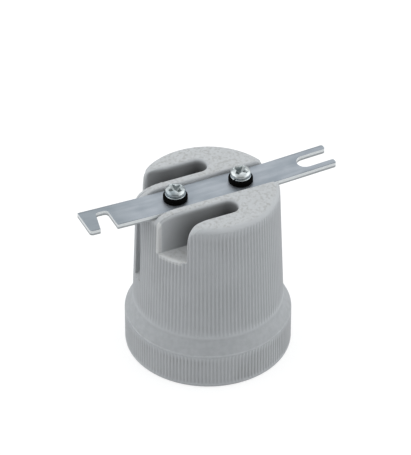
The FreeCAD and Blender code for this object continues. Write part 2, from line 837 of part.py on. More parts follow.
pieces = [make_porcelain(), make_shell(), make_centre_contact(), make_strap()]
pieces.append(make_inner_screw("contact_screw", 1, size("contact_sheet")))
pieces.append(make_inner_screw("shell_screw", -1, size("shell_sheet")))
for side, pole in ((1, "live"), (-1, "neutral")):
    pieces.append(make_terminal("%s_terminal" % pole, side))
    pieces.append(make_clamp("%s_clamp" % pole, side))
    pieces.append(make_wire_screw("%s_wire_screw" % pole, side))
for side, end in ((-1, "hook_end"), (1, "fork_end")):
    pieces.append(make_washer("%s_washer" % end, side))
    pieces.append(make_spring_washer("%s_spring_washer" % end, side))
    pieces.append(make_strap_screw("%s_screw" % end, side))
    pieces.append(make_nut("%s_nut" % end, side))

doc.recompute()
for item in doc.Objects:
    if "Invalid" in item.State or "Error" in item.State:
        raise RuntimeError("%s did not build" % item.Label)
for piece in pieces:
    if piece.Shape.isNull() or not piece.Shape.isValid():
        raise RuntimeError("%s has no valid shape" % piece.Label)

os.makedirs("parts", exist_ok=True)
for piece in pieces:
    piece.Shape.exportStep("parts/%s.step" % piece.Label)
    box = piece.Shape.BoundBox
    print("%-24s %9.2f mm3  z %.2f to %.2f" % (piece.Label, piece.Shape.Volume, box.ZMin, box.ZMax))
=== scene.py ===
import json
import math
import bmesh
import bpy
import numpy as np
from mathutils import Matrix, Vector


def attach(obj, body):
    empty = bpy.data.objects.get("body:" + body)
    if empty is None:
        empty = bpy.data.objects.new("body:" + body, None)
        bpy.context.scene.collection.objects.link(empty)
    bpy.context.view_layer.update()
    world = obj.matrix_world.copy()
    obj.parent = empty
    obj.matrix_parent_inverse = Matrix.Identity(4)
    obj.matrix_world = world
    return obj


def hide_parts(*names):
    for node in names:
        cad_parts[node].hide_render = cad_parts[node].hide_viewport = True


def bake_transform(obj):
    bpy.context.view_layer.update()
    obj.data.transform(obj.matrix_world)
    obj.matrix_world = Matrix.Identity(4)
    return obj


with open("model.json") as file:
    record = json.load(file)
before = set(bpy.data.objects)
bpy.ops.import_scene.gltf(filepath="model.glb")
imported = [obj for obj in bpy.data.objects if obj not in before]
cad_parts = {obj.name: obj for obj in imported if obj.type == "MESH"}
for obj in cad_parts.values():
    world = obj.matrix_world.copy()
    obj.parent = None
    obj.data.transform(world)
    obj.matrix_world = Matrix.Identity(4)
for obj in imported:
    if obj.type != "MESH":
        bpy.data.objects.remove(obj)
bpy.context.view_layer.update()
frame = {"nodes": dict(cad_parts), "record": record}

# Looks for a ribbed porcelain lamp holder with a steel mounting strap. Lengths are in millimetres,
# in the part's own frame, and MM brings them to metres when a mesh is made. Only the paints, which
# read places on a piece, work in metres.
MM = 0.001
NODES = frame["nodes"]

# Edges are sharp where faces turn by more degrees than this, unless a piece says otherwise.
SHARP_ANGLE = 32.0

# Porcelain, outside
TOP = 53.5
SKIRT = 23.97
FOOT_ROUND = 0.7
BAND_EDGE = 0.45
BAND_EDGE_LEVEL = 10.8
SHOULDER_TOP = 15.5
DRUM_FOOT = 21.65
DRUM_TOP = 20.3
RIM_ROUND = 2.0
RIM_LEVEL = TOP - RIM_ROUND

# The long rounding of the top edge at the hook end: how far it goes down and in, and how many
# degrees off the strap's line it is still whole and has faded into the short one
NOSE_DROP = 3.6
NOSE_RUN = 7.0
NOSE_WHOLE = 36.0
NOSE_FADED = 60.0

# Ribs. A run is a list of (level, share of the ribs' depth), and the shoulder one of (radius,
# level). The last climb is a list of (share of the way from RUN_END to the rim's rounding, share of
# the depth), and the rim's turns one of (degrees round the rounding, share of the depth). The
# grooves follow a cosine to the power RIB_HOLLOW, which widens them.
DRUM_RIBS = 120
BAND_RIBS = 144
RIB_DEPTH = 0.18
RIB_HOLLOW = 0.8
BAND_RUN = ((0.95, 0.35), (1.25, 0.85), (1.6, 1), (6.0, 1), (10.1, 1), (10.4, 0.85), (10.65, 0.35))
SHOULDER = ((23.625, 11.28), (23.58, 11.42), (22.80, 13.10), (22.05, 14.67), (21.87, 15.08),
            (21.745, 15.46), (21.665, 15.82))
DRUM_RUN = ((16.15, 0.1), (16.4, 0.45), (16.7, 0.85), (17.1, 1), (26.0, 1), (34.0, 1), (41.0, 1),
            (46.0, 1))
RUN_END = DRUM_RUN[-1][0]
LAST_CLIMB = ((0.3, 1), (0.6, 1), (0.9, 1), (1.0, 0.9))
RIM_TURNS = ((6, 0.7), (13, 0.4), (20, 0.15), (27, 0), (36, 0), (46, 0), (57, 0), (68, 0), (79, 0),
             (90, 0))

# Wire slots. From CURL_START to the top each flare curls tighter, and its lip gets rounder and
# moves round the drum by LIP_TURN_CURL degrees from LIP_TURN. The sill under a slot's mouth is
# rounded between two turns in degrees, by SILL_LEAST at its ends and SILL_GROWTH more at its
# middle.
SLOT_INNER = 7.75
SLOT_OUTER = 13.25
SLOT_MIDDLE = 10.5
SLOT_END = 1.45
SLOT_FLOOR = 41.3
SLOT_FLOOR_ROUND = 0.35
SLOT_EDGE = 0.9
BAR_CORNER = 0.9
FLARE_START = -6.0
FLARE_RADIUS = 18.0
FLARE_TOP_RADIUS = 12.0
LIP_ROUND = 0.6
LIP_TOP_ROUND = 1.5
LIP_TURN = 226.0
LIP_TURN_CURL = 10.0
CURL_START = 47.5
SILL_TURNS = (137.0, 156.0)
SILL_STEPS = 24
SILL_LEAST = 0.08
SILL_GROWTH = 0.92

# Strap channel and the moulded groove beside it
CHANNEL_HALF = 5.0
CHANNEL_FLOOR = 50.95
CHANNEL_FLOOR_ROUND = 0.15
CHANNEL_EDGE = 0.75
CHANNEL_CORNER = 1.0
KEY_SIDES = (0.6, 4.8)
KEY_EDGE = 0.3
KEY_BACK_ROUND = 0.2
KEY_TOP = 50.3
KEY_LEAST_RADIUS = 19.75
KEY_ROWS = ((26.0, -19.6), (26.2, -19.3), (26.6, -19.08), (27.2, -19.0), (35.0, -19.0),
            (45.0, -19.0), (48.5, -19.0), (49.5, -19.0), (KEY_TOP, -19.0), (56.0, -19.0))

# How the cuts from the top are built: the levels of their outlines, where the points along a
# straight wall stand and end, how far an edge may spread on a wall or, as a share of its radius, on
# a round, how often the search for that spread is halved, and a radius outside the drum
CUT_LEVELS = (44.0, 46.5, 47.8, 48.6, 49.2, 49.8, 50.3, 50.8, 51.2, 51.6, 51.95, 52.25, 52.5, 52.75,
              52.95, 53.1, 53.22, 53.32, 53.4, 53.46, TOP, TOP + 2.0)
WALL_SHARES = (0.12, 0.26, 0.42, 0.6, 0.8, 1.0)
WALL_END = -7.0
FREE = 9.0
ROUND_SPREAD = 0.85
HALVINGS = 11
OUTSIDE = 27.0

# How far the room of a hole goes past its ends
PAST = 1.0

# Porcelain, inside
MOUTH_RADIUS = 16.4
MOUTH_ROUND = 0.8
BORE = 14.0
LEDGE = 25.3
RECESS = 13.0
INNER_FLOOR = 30.0
WELL_START = -7.9
WELL_FLOOR = 35.0
WELL_GAP = 0.04
STRAP_SCREW_HOLE = 1.8
TIE_SCREW_HOLE = 1.55
NUT_POCKET = 5.7
TAIL_POCKET_HALF = 2.1
TAIL_POCKET_FLOOR = 31.8
FOOT_NOTCH_HALF = 3.4
FOOT_NOTCH_START = -12.0

# Fasteners. SPRING_WASHER and BLACK_WASHER are heights, and the spring washer's gap is in degrees.
THREAD_PITCH = 0.5
THREAD_DEPTH = 0.17
ROWS_PER_TURN = 8
SCREW_PLACE = 10.1
SCREW_FOOT = 32.25
SCREW_SHANK = 1.45
SCREW_THREAD_TOP = 36.5
HEAD_HEIGHT = 1.9
STRAP_TOP = 52.45
WASHER_HOLE = 1.65
SPRING_WASHER = 0.6
SPRING_WASHER_RADIUS = 2.95
SPRING_WASHER_GAP = 9.0
BLACK_WASHER = 1.5
BLACK_WASHER_RADIUS = 3.5
NUT_SEAT = 35.0
NUT_FOOT = 32.6
NUT_WIDTH = 5.5
NUT_HOLE = 1.5
NUT_BEVEL = 0.3
NUT_RADII = (2.66, 3.2, 3.2, 2.66)
WIRE_SCREW_PLACE = -4.9
WIRE_SCREW_FOOT = 32.2
WIRE_SCREW_SHANK = 1.4
WIRE_SCREW_THREAD_TOP = 36.9
WIRE_SCREW_SEAT = 37.7
TIE_SCREW_TIP = WELL_FLOOR + 1.6
DRIVER_SLOT_HALF = 0.35
DRIVER_SLOT_REACH = 3.5

# A cross recess as (depth under the head's top, arm, arm's half width, waist)
CROSS_ROWS = ((-0.3, 2.60, 0.72, 1.02), (0.0, 2.42, 0.64, 0.92), (0.7, 1.85, 0.44, 0.64),
              (1.3, 0.70, 0.28, 0.38))

# Shell and centre contact
SHELL_FOOT = 9.0
SHELL_ROOT = 13.25
SHELL_SHEET = 0.4
SHELL_PITCH = 3.6
SHELL_WAVE = 0.95
SHELL_RUN_OUT = 1.6
CONTACT_SHEET = 0.6
CONTACT_BEND = 0.55
TIE_TAPPED_HOLE = 1.25

# Camera, fitted to the photo's outlines, and the way it looks in plan. The light has a bright place
# high behind the object, so much ahead of the camera and so much up.
CAMERA_PLACE = (-345.2, -746.7, 673.6)
CAMERA_AIM = (-0.663, 0.306, 38.980)
CAMERA_LENS = 290.37
AHEAD_EAST, AHEAD_NORTH = 0.4215, 0.9068
BRIGHT_AHEAD, BRIGHT_UP = 0.79, 0.61


class Wire:
    """A shader value that can stand in a Python sum."""

    def __init__(self, board, socket):
        self.board = board
        self.socket = socket

    def also(self, name):
        """Another output of the same node."""
        return Wire(self.board, self.socket.node.outputs[name])

    def sum_with(self, kind, first, second):
        """Two values put through a maths node."""
        return self.board.add("ShaderNodeMath", {"operation": kind}, {0: first, 1: second})

    def __add__(self, other):
        return self.sum_with("ADD", self, other)

    def __radd__(self, other):
        return self.sum_with("ADD", other, self)

    def __sub__(self, other):
        return self.sum_with("SUBTRACT", self, other)

    def __rsub__(self, other):
        return self.sum_with("SUBTRACT", other, self)

    def __mul__(self, other):
        return self.sum_with("MULTIPLY", self, other)

    def __rmul__(self, other):
        return self.sum_with("MULTIPLY", other, self)

    def __abs__(self):
        return self.through("ABSOLUTE")

    def through(self, kind):
        """The value put through a function of one number."""
        return self.sum_with(kind, self, 0.0)

    def ramp(self, low, high, start=0.0, end=1.0):
        """Goes smoothly from start to end as the value goes from low to high."""
        settings = {"interpolation_type": "SMOOTHSTEP"}
        return self.board.add("ShaderNodeMapRange", settings,
                              {"Value": self, 1: low, 2: high, 3: start, 4: end})

    def fade(self, low, high):
        """Goes smoothly from 1 to 0 as the value goes from low to high."""
        return self.ramp(low, high, 1.0, 0.0)

    def within(self, start, full, last, end):
        """Is 1 from full to last, and fades to 0 at start and at end."""
        return self.ramp(start, full) * self.fade(last, end)


class Board:
    """A node tree that is filled by Python calls."""

    def __init__(self, tree):
        self.tree = tree
        tree.nodes.clear()

    def add(self, kind, settings=None, values=None, out=0):
        """A node with its settings and values or links, as the wire from one of its outputs."""
        node = self.tree.nodes.new(kind)
        for key, value in (settings or {}).items():
            setattr(node, key, value)
        for key, value in (values or {}).items():
            if isinstance(value, Wire):
                self.tree.links.new(value.socket, node.inputs[key])
            else:
                node.inputs[key].default_value = value
        return Wire(self, node.outputs[out] if len(node.outputs) else None)

    def place(self, stretch=(1, 1, 1)):
        """Places on the piece in metres, stretched for streaks."""
        at = self.add("ShaderNodeTexCoord", out="Object")
        return self.add("ShaderNodeMapping", None, {"Vector": at, "Scale": stretch})

    def split(self, vector):
        """The three parts of a vector."""
        x = self.add("ShaderNodeSeparateXYZ", None, {"Vector": vector})
        return x, x.also("Y"), x.also("Z")

    def facing_up(self):
        """1 where the surface faces straight up, 0 where it is upright, -1 where it faces down."""
        return self.split(self.add("ShaderNodeNewGeometry", out="True Normal"))[2]

    def noise(self, per_metre, detail=4.0, stretch=(1, 1, 1)):
        """Cloudy noise with an even spread about a half."""
        return self.add("ShaderNodeTexNoise", None, {
            "Vector": self.place(stretch), "Scale": per_metre, "Detail": detail})

    def mix(self, share, first, second):
        """A colour between two others."""
        node = self.tree.nodes.new("ShaderNodeMix")
        node.data_type = "RGBA"
        for number, value in ((0, share), (6, first), (7, second)):
            if isinstance(value, Wire):
                self.tree.links.new(value.socket, node.inputs[number])
            else:
                node.inputs[number].default_value = value if number == 0 else (*value, 1.0)
        return Wire(self, node.outputs[2])

    def bump(self, height, distance, strength):
        """The surface's way of facing, roughened by a height."""
        values = {"Height": height, "Distance": distance, "Strength": strength}
        return self.add("ShaderNodeBump", None, values)

    def finish(self, shader):
        """Makes a shader the one that the material shows."""
        self.add("ShaderNodeOutputMaterial", None, {"Surface": shader})


def material(name, paint):
    """A material whose shader takes its values from a paint."""
    made = bpy.data.materials.new(name)
    made.use_nodes = True
    board = Board(made.node_tree)
    board.finish(board.add("ShaderNodeBsdfPrincipled", None, paint(board)))
    return made


def porcelain_paint(board):
    """Grey half-matt glaze: clouds and specks, painted shade in grooves, on the shoulder and in the
    slots, painted light on upward faces, the band and the slots' edges.
    """
    clouds = board.noise(90.0, 5.0)
    fading = board.noise(70.0, 2.0).ramp(0.38, 0.62)
    patches = board.noise(650.0, 4.0)
    flecks = board.noise(1100.0, 4.0).ramp(0.47, 0.66)
    grain = board.noise(2600.0, 3.0)
    specks = board.noise(1500.0, 1.0).ramp(0.70, 0.76)
    x, y, z = board.split(board.place())
    aside = abs(y)
    away = (x * x + y * y).through("SQRT")
    turn = board.add("ShaderNodeMath", {"operation": "ARCTAN2"}, {0: y, 1: x})
    facing = board.facing_up()
    upright = 1.0 - abs(facing).ramp(0.3, 0.8)
    top = facing.ramp(0.80, 0.97)
    outside = away.ramp(0.0192, 0.0198)
    hookward = x.fade(-0.0134, -0.0128)

    # Painted shade lies in the ribs' grooves, and less so towards the fork end.
    drum = z.within(0.0160, 0.0190, 0.0490, 0.0516) * outside
    band = z.within(0.0008, 0.0020, 0.0085, 0.0107) * away.ramp(0.0230, 0.0234)
    grooves = drum * (0.5 - 0.5 * (DRUM_RIBS * turn).through("COSINE"))
    grooves = grooves * x.ramp(-0.0060, 0.0100, 1.0, 0.35)
    grooves = grooves + band * (0.8 - 0.8 * (BAND_RIBS * turn).through("COSINE"))
    foot = z.fade(0.0100, 0.0106) * away.ramp(0.0220, 0.0230) * upright
    shoulder = z.within(0.0105, 0.0112, 0.0152, 0.0162) * away.ramp(0.0208, 0.0214)

    # Painted shade: the slots' walls get darker downwards and towards the blind end.
    slot = aside.within(0.0071, 0.0077, 0.0150, 0.0158)
    slot = slot * away.fade(0.0186, 0.0196) * z.ramp(0.0535, 0.0515)
    depth = 0.7 + 0.3 * z.ramp(0.0520, 0.0450)
    dusk = 0.11 + x.ramp(-0.0185, -0.0070) * 0.54 + x.ramp(-0.0040, 0.0030) * 0.22
    flare = aside.ramp(0.0120, 0.0130) * x.ramp(-0.0150, -0.0110)
    dusk = dusk + flare * x.ramp(-0.0070, -0.0020, 1.0, 0.2) * 0.22
    dusk = dusk + x.ramp(0.0005, 0.0030) * z.ramp(0.0525, 0.0490) * 0.14
    shadow = slot * upright * depth * dusk

    # Painted highlights lie on the edges of a slot's mouth: the bar's corner, the flare's lip, the
    # sill.
    mouth = hookward * z.ramp(0.0411, 0.0415)
    corner = aside.within(0.0067, 0.0071, 0.0077, 0.0079) * away.ramp(0.0193, 0.0196) * mouth
    lip = aside.within(0.0142, 0.0145, 0.0150, 0.0153) * mouth * 0.7
    sill = z.within(0.0400, 0.0404, 0.0413, 0.0415) * outside
    sill = sill * aside.within(0.0077, 0.0081, 0.0142, 0.0146) * hookward * 0.6

    shade_grey = (0.22, 0.22, 0.22)
    body = board.mix(clouds * 0.6 + patches * 0.4, (0.442, 0.456, 0.470), (0.538, 0.552, 0.563))
    # Painted shade: the drum gets darker towards the fork end.
    body = board.mix(drum * x.ramp(-0.0060, 0.0100, 0.0, 0.12), body, shade_grey)
    # Painted shade in the ribs' grooves.
    body = board.mix(grooves * upright * (0.22 + 0.20 * fading), body, shade_grey)
    # Painted light: faces that look up are lightened.
    body = board.mix(top * 0.20, body, (0.60, 0.60, 0.60))
    mottling = top * (0.26 * patches.ramp(0.42, 0.66) + 0.6 * flecks)
    body = board.mix(mottling, body, (0.35, 0.35, 0.34))
    # Painted light: low faces that look up, such as the slots' and wells' floors, are lightened.
    body = board.mix(top * z.ramp(0.0415, 0.0440, 0.24, 0.0), body, (0.70, 0.70, 0.69))
    # Painted light: the band's upright face is lightened a little.
    body = board.mix(foot * 0.08, body, (0.74, 0.74, 0.74))
    # Painted shade: the shoulder is darkened, more in patches.
    shoulder_shade = shoulder * (0.24 + 0.22 * patches.ramp(0.3, 0.7))
    body = board.mix(shoulder_shade, body, (0.26, 0.27, 0.28))
    # Painted highlights on the mouths' edges.
    body = board.mix((corner + lip + sill) * 0.7, body, (0.76, 0.76, 0.75))
    body = board.mix(shadow, body, (0.035, 0.032, 0.030))
    return {
        "Base Color": board.mix(specks * 0.25, body, (0.34, 0.33, 0.32)),
        "Roughness": 0.34 + 0.22 * clouds + 0.12 * grain,
        "Specular IOR Level": 0.42,
        "Normal": board.bump(grain + patches * (0.6 + 2.4 * top), 0.00002, 0.5),
    }


def strap_paint(board):
    """Zinc-plated sheet: bluish, streaked along its length, darker at the hook end, with shear-cut
    edges torn below and a painted highlight above.
    """
    streaks = board.noise(80.0, 6.0, (1.0, 6.0, 6.0))
    clouds = board.noise(160.0, 4.0)
    edge = 1.0 - abs(board.facing_up()).ramp(0.3, 0.6)
    x, y, z = board.split(board.place())
    tone = streaks.ramp(0.3, 0.7) * 0.6 + clouds.ramp(0.3, 0.7) * 0.4
    flat = board.mix(tone, (0.300, 0.335, 0.375), (0.450, 0.480, 0.520))
    # Darker towards the hook end, in clouds.
    hook_end_dark = x.ramp(-0.0330, -0.0200, 0.42, 0.0) * (0.6 + 0.8 * clouds)
    flat = board.mix(hook_end_dark, flat, (0.235, 0.270, 0.290))
    brink = abs(y).ramp(0.0040, 0.0046) * abs(x).ramp(0.0180, 0.0300)
    flat = board.mix(brink * 0.45, flat, (0.16, 0.18, 0.19))

    # The shear-cut edge carries a painted highlight above the sheet's middle, which the bent arms
    # lift, and is torn below.
    middle = 0.0517 + x.ramp(0.0195, 0.0379, 0.0, 0.0008)
    middle = middle + x.ramp(-0.0379, -0.0195, 0.00055, 0.0)
    torn = (middle - z).ramp(0.00005, 0.00030)
    edge_highlight_and_tear = board.mix(torn * 0.8, (0.92, 0.94, 0.94), (0.34, 0.36, 0.37))
    return {
        "Base Color": board.mix(edge, flat, edge_highlight_and_tear),
        "Metallic": 0.9 - 0.45 * edge,
        "Roughness": 0.36 + 0.14 * streaks,
        "Normal": board.bump(streaks, 0.00001, 0.4),
    }


def zinc_paint(board):
    """Bright zinc plate with a faint blue, duller in patches, with painted shade in the cross
    recesses.
    """
    clouds = board.noise(420.0, 4.0)
    marks = board.noise(2400.0, 2.0)
    x, y, z = board.split(board.place())
    along = abs(x) - SCREW_PLACE * MM
    off = (along * along + y * y).through("SQRT")
    # Painted shade in the cross recesses.
    recess = off.fade(0.0022, 0.0024) * z.fade(0.05590, 0.05620) * z.ramp(0.0540, 0.0545)
    plate = board.mix(clouds.ramp(0.35, 0.65), (0.30, 0.34, 0.36), (0.62, 0.65, 0.65))
    return {
        "Base Color": board.mix(recess * 0.55, plate, (0.16, 0.18, 0.18)),
        "Metallic": 1.0,
        "Roughness": 0.14 + 0.14 * clouds,
        "Normal": board.bump(marks, 0.000006, 0.5),
    }


def black_paint(board):
    """A matt washer painted near pure black."""
    clouds = board.noise(900.0, 3.0)
    return {
        "Base Color": board.mix(clouds, (0.0012, 0.0012, 0.0012), (0.003, 0.003, 0.003)),
        "Roughness": 0.7 + 0.2 * clouds,
        "Specular IOR Level": 0.03,
    }


def shell_paint(board):
    """Nickel-plated rolled sheet with fine rolling marks round it."""
    marks = board.noise(220.0, 4.0, (1.0, 1.0, 12.0))
    clouds = board.noise(160.0, 4.0)
    return {
        "Base Color": board.mix(clouds, (0.66, 0.63, 0.57), (0.80, 0.78, 0.73)),
        "Metallic": 1.0,
        "Roughness": 0.18 + 0.16 * marks,
        "Normal": board.bump(marks, 0.00001, 0.3),
    }


def contact_paint(board):
    """Phosphor bronze strip, a little darker in patches."""
    clouds = board.noise(260.0, 4.0)
    streaks = board.noise(120.0, 5.0, (10.0, 1.0, 1.0))
    return {
        "Base Color": board.mix(clouds, (0.56, 0.34, 0.18), (0.76, 0.52, 0.30)),
        "Metallic": 1.0,
        "Roughness": 0.24 + 0.18 * streaks,
        "Normal": board.bump(streaks, 0.000008, 0.4),
    }


def brass_paint(board):
    """Plain brass with a slight tarnish."""
    clouds = board.noise(300.0, 5.0)
    return {
        "Base Color": board.mix(clouds, (0.62, 0.44, 0.17), (0.82, 0.64, 0.32)),
        "Metallic": 1.0,
        "Roughness": 0.22 + 0.2 * clouds,
        "Normal": board.bump(clouds, 0.00001, 0.4),
    }


MATERIALS = {
    "porcelain": material("grey_glazed_porcelain", porcelain_paint),
    "strap_steel": material("zinc_plated_sheet", strap_paint),
    "zinc_plate": material("bright_zinc_plate", zinc_paint),
    "black_washer": material("near_black_washer", black_paint),
    "plated_shell": material("rolled_nickel_plate", shell_paint),
    "contact_strip": material("bronze_strip", contact_paint),
    "brass": material("plain_brass", brass_paint),
}


def loft(name, loops, closed=False):
    """A mesh through loops of equal length, with end caps, or closed from its last to its first."""
    loops = np.array(loops, float)
    count, size = loops.shape[:2]
    points = loops.reshape(-1, 3) * MM
    faces = []
    for n in range(count if closed else count - 1):
        low, high = n * size, (n + 1) % count * size
        for k in range(size):
            after = (k + 1) % size
            faces.append((low + k, low + after, high + after, high + k))
    if not closed:
        faces.append(tuple(range(size - 1, -1, -1)))
        faces.append(tuple(range((count - 1) * size, count * size)))
    mesh = bpy.data.meshes.new(name)
    mesh.from_pydata(points.tolist(), [], faces)
    form = bmesh.new()
    form.from_mesh(mesh)
    bmesh.ops.recalc_face_normals(form, faces=form.faces)
    form.to_mesh(mesh)
    form.free()
    thing = bpy.data.objects.new(name, mesh)
    bpy.context.scene.collection.objects.link(thing)
    return thing


def even_turns(size):
    """Equal steps round a circle, in radians."""
    return np.arange(size) * 2 * math.pi / size


def round_loops(radii, levels, centre=(0.0, 0.0)):
    """Loops round an upright axis. Each has a row of radii, and one level or a row of levels."""
    radii = np.array(radii, float)
    size = radii.shape[1]
    turns = even_turns(size)
    heights = np.array(levels, float)
    if heights.ndim == 1:
        heights = np.repeat(heights[:, None], size, axis=1)
    across = centre[0] + radii * np.cos(turns)
    along = centre[1] + radii * np.sin(turns)
    return np.stack([across, along, heights], axis=2)


def turned(name, profile, size, centre=(0.0, 0.0)):
    """A plain solid of revolution from (radius, level) pairs."""
    radii = [[radius] * size for radius, level in profile]
    return loft(name, round_loops(radii, [level for radius, level in profile], centre))


def arc(centre, radius, start, end, steps):
    """Points on an arc in plan, from one angle in degrees to another, both kept."""
    turns = np.radians(np.linspace(start, end, steps + 1))
    return [(centre[0] + radius * math.cos(t), centre[1] + radius * math.sin(t)) for t in turns]


def lifted(outline, level):
    """An outline in plan, put at a level."""
    return [(x, y, level) for x, y in outline]


def swung(outline, centre, degrees):
    """An outline turned about its own origin and put at a centre."""
    angle = math.radians(degrees)
    return [(centre[0] + x * math.cos(angle) - y * math.sin(angle),
             centre[1] + x * math.sin(angle) + y * math.cos(angle)) for x, y in outline]


def bent_strip(name, path, half_width, thickness):
    """A strip across X that follows a path of (y, z) points."""
    loops = []
    for number, (y, z) in enumerate(path):
        before = path[max(number - 1, 0)]
        after = path[min(number + 1, len(path) - 1)]
        run = Vector((after[0] - before[0], after[1] - before[1])).normalized() * (thickness / 2)
        outer, inner = (y - run.y, z + run.x), (y + run.y, z - run.x)
        loops.append([(-half_width, *outer), (half_width, *outer),
                      (half_width, *inner), (-half_width, *inner)])
    return loft(name, loops)


def cut(thing, *tools):
    """Takes the tools' room away from the thing, then removes the tools."""
    for tool in tools:
        step = thing.modifiers.new("cut", "BOOLEAN")
        step.object = tool
        step.operation = "DIFFERENCE"
        step.solver = "EXACT"
    graph = bpy.context.evaluated_depsgraph_get()
    mesh = bpy.data.meshes.new_from_object(thing.evaluated_get(graph))
    thing.modifiers.clear()
    thing.data = mesh
    for tool in tools:
        bpy.data.objects.remove(tool)


def joined(first, *others):
    """Puts meshes that don't touch into one."""
    form = bmesh.new()
    for thing in (first, *others):
        form.from_mesh(thing.data)
    form.to_mesh(first.data)
    form.free()
    for thing in others:
        bpy.data.objects.remove(thing)
    return first


def shade(thing, angle):
    """Smooth faces with sharp edges where they turn by more than an angle."""
    form = bmesh.new()
    form.from_mesh(thing.data)
    bmesh.ops.remove_doubles(form, verts=form.verts, dist=1e-7)
    bmesh.ops.dissolve_degenerate(form, edges=form.edges, dist=1e-7)
    form.to_mesh(thing.data)
    form.free()
    thing.data.polygons.foreach_set("use_smooth", [True] * len(thing.data.polygons))
    thing.data.set_sharp_from_angle(angle=math.radians(angle))
    even = thing.modifiers.new("even_shading", "WEIGHTED_NORMAL")
    even.keep_sharp = True


def piece(thing, body, slot, *stands_for, angle=SHARP_ANGLE):
    """Gives a finished mesh its shading, its material and its place on a body."""
    shade(thing, angle)
    thing.data.materials.clear()
    thing.data.materials.append(MATERIALS[slot])
    if body:
        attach(thing, body)
    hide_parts(*stands_for)


def drum_side(level):
    """The porcelain's side above the shoulder, without its ribs."""
    share = (level - SHOULDER_TOP) / (RIM_LEVEL - SHOULDER_TOP)
    return DRUM_FOOT + (DRUM_TOP - DRUM_FOOT) * share


def rim_reach(turn):
    """How far the rounding of the top edge reaches down and in at a turn in degrees.

    It is short all round, but long at the hook end, where the ridges bow down to the drum's side.
    """
    off = np.abs(np.mod(turn, 360.0) - 180.0)
    share = np.clip((NOSE_FADED - off) / (NOSE_FADED - NOSE_WHOLE), 0.0, 1.0)
    share = share * share * (3.0 - 2.0 * share)
    return RIM_ROUND + (NOSE_DROP - RIM_ROUND) * share, RIM_ROUND + (NOSE_RUN - RIM_ROUND) * share


def drum_radius(level, turn):
    """The porcelain's outside at a level and a turn in degrees, without its ribs."""
    drop, run = rim_reach(turn)
    start = TOP - drop
    if level <= start:
        return drum_side(level)
    rise = min((level - start) / drop, 1.0)
    return drum_side(start) - run + run * math.sqrt(1.0 - rise * rise)


def face_level(x, y):
    """The level of the top face at a place. It falls away towards the rim."""
    drop, run = rim_reach(math.degrees(math.atan2(y, x)))
    start = TOP - drop
    out = (math.hypot(x, y) - drum_side(start) + run) / run
    return start + drop * math.sqrt(1.0 - min(max(out, 0.0), 1.0) ** 2)


def porcelain_skin():
    """The outside, foot to top, with rounded ribs that fade out at both ends of each run."""
    # Each row has a radius, a level and the shares of the drum's and the band's ribs.
    rows = [(SKIRT - FOOT_ROUND - 0.3, 0.0, 0, 0)]
    for x, y in arc((SKIRT - FOOT_ROUND, FOOT_ROUND), FOOT_ROUND, -90, 0, 5):
        rows.append((x, y, 0, 0))
    for level, share in BAND_RUN:
        rows.append((SKIRT, level, 0, share))
    for x, y in arc((SKIRT - BAND_EDGE, BAND_EDGE_LEVEL), BAND_EDGE, 0, 66, 4):
        rows.append((x, y, 0, 0))
    rows += [(radius, level, 0, 0) for radius, level in SHOULDER]
    for level, share in DRUM_RUN:
        rows.append((drum_side(level), level, share, 0))

    size = 1440
    turns = even_turns(size)
    drop, run = rim_reach(np.degrees(turns))
    start = TOP - drop
    for climb, share in LAST_CLIMB:
        level = RUN_END + (start - RUN_END) * climb
        rows.append((drum_side(level), level, share, 0))
    for angle, share in RIM_TURNS:
        lean = math.radians(angle)
        rows.append((drum_side(start) - run * (1.0 - math.cos(lean)),
                     start + drop * math.sin(lean), share, 0))
    rows.append((drum_side(start) - run - 0.4, TOP, 0, 0))

    radii, levels = [], []
    for radius, level, drum, band in rows:
        hollow = drum * (0.5 - 0.5 * np.cos(DRUM_RIBS * turns)) ** RIB_HOLLOW
        hollow += band * (0.5 - 0.5 * np.cos(BAND_RIBS * turns)) ** RIB_HOLLOW
        radii.append(radius - RIB_DEPTH * hollow)
        levels.append(level + 0.0 * turns)
    return loft("porcelain_casting", round_loops(radii, levels))


def beyond(place):
    """A point outside the drum, in line with its axis and a place."""
    scale = OUTSIDE / math.hypot(*place)
    return (place[0] * scale, place[1] * scale, 0.0, 0.0, 0.0)


def inward_arc(centre, radius, start, end, steps):
    """An arc with the porcelain inside it."""
    return [(x, y, (centre[0] - x) / radius, (centre[1] - y) / radius, ROUND_SPREAD * radius)
            for x, y in arc(centre, radius, start, end, steps)]


def mouth_corner(wall, into, end, radius, round_by):
    """The rounded corner where a wall along the strap's line comes out of the drum's side.

    The wall stands at wall, with the porcelain on its into side, and comes out at end (-1 or 1).
    The points go from outside to inside. Each has its way into the porcelain, and how far its edge
    may spread that way.
    """
    across = wall + into * round_by
    centre = (end * math.sqrt((radius - round_by) ** 2 - across ** 2), across)
    outward = math.degrees(math.atan2(centre[1], centre[0]))
    wall_way = -90.0 * into
    while outward - wall_way > 180:
        outward -= 360
    while outward - wall_way < -180:
        outward += 360
    return [beyond(centre)] + inward_arc(centre, round_by, outward, wall_way, 8)


def wall_points(start, wall, into):
    """Points along a straight wall, from a mouth's corner to past the long rounding."""
    return [(start + (WALL_END - start) * share, wall, 0.0, into, FREE) for share in WALL_SHARES]


def cut_levels(floor, floor_round):
    """Levels of a cut from its floor to above the top."""
    levels = [floor, floor + 0.3 * floor_round, floor + floor_round]
    return levels + [level for level in CUT_LEVELS if level > floor + floor_round + 0.1]


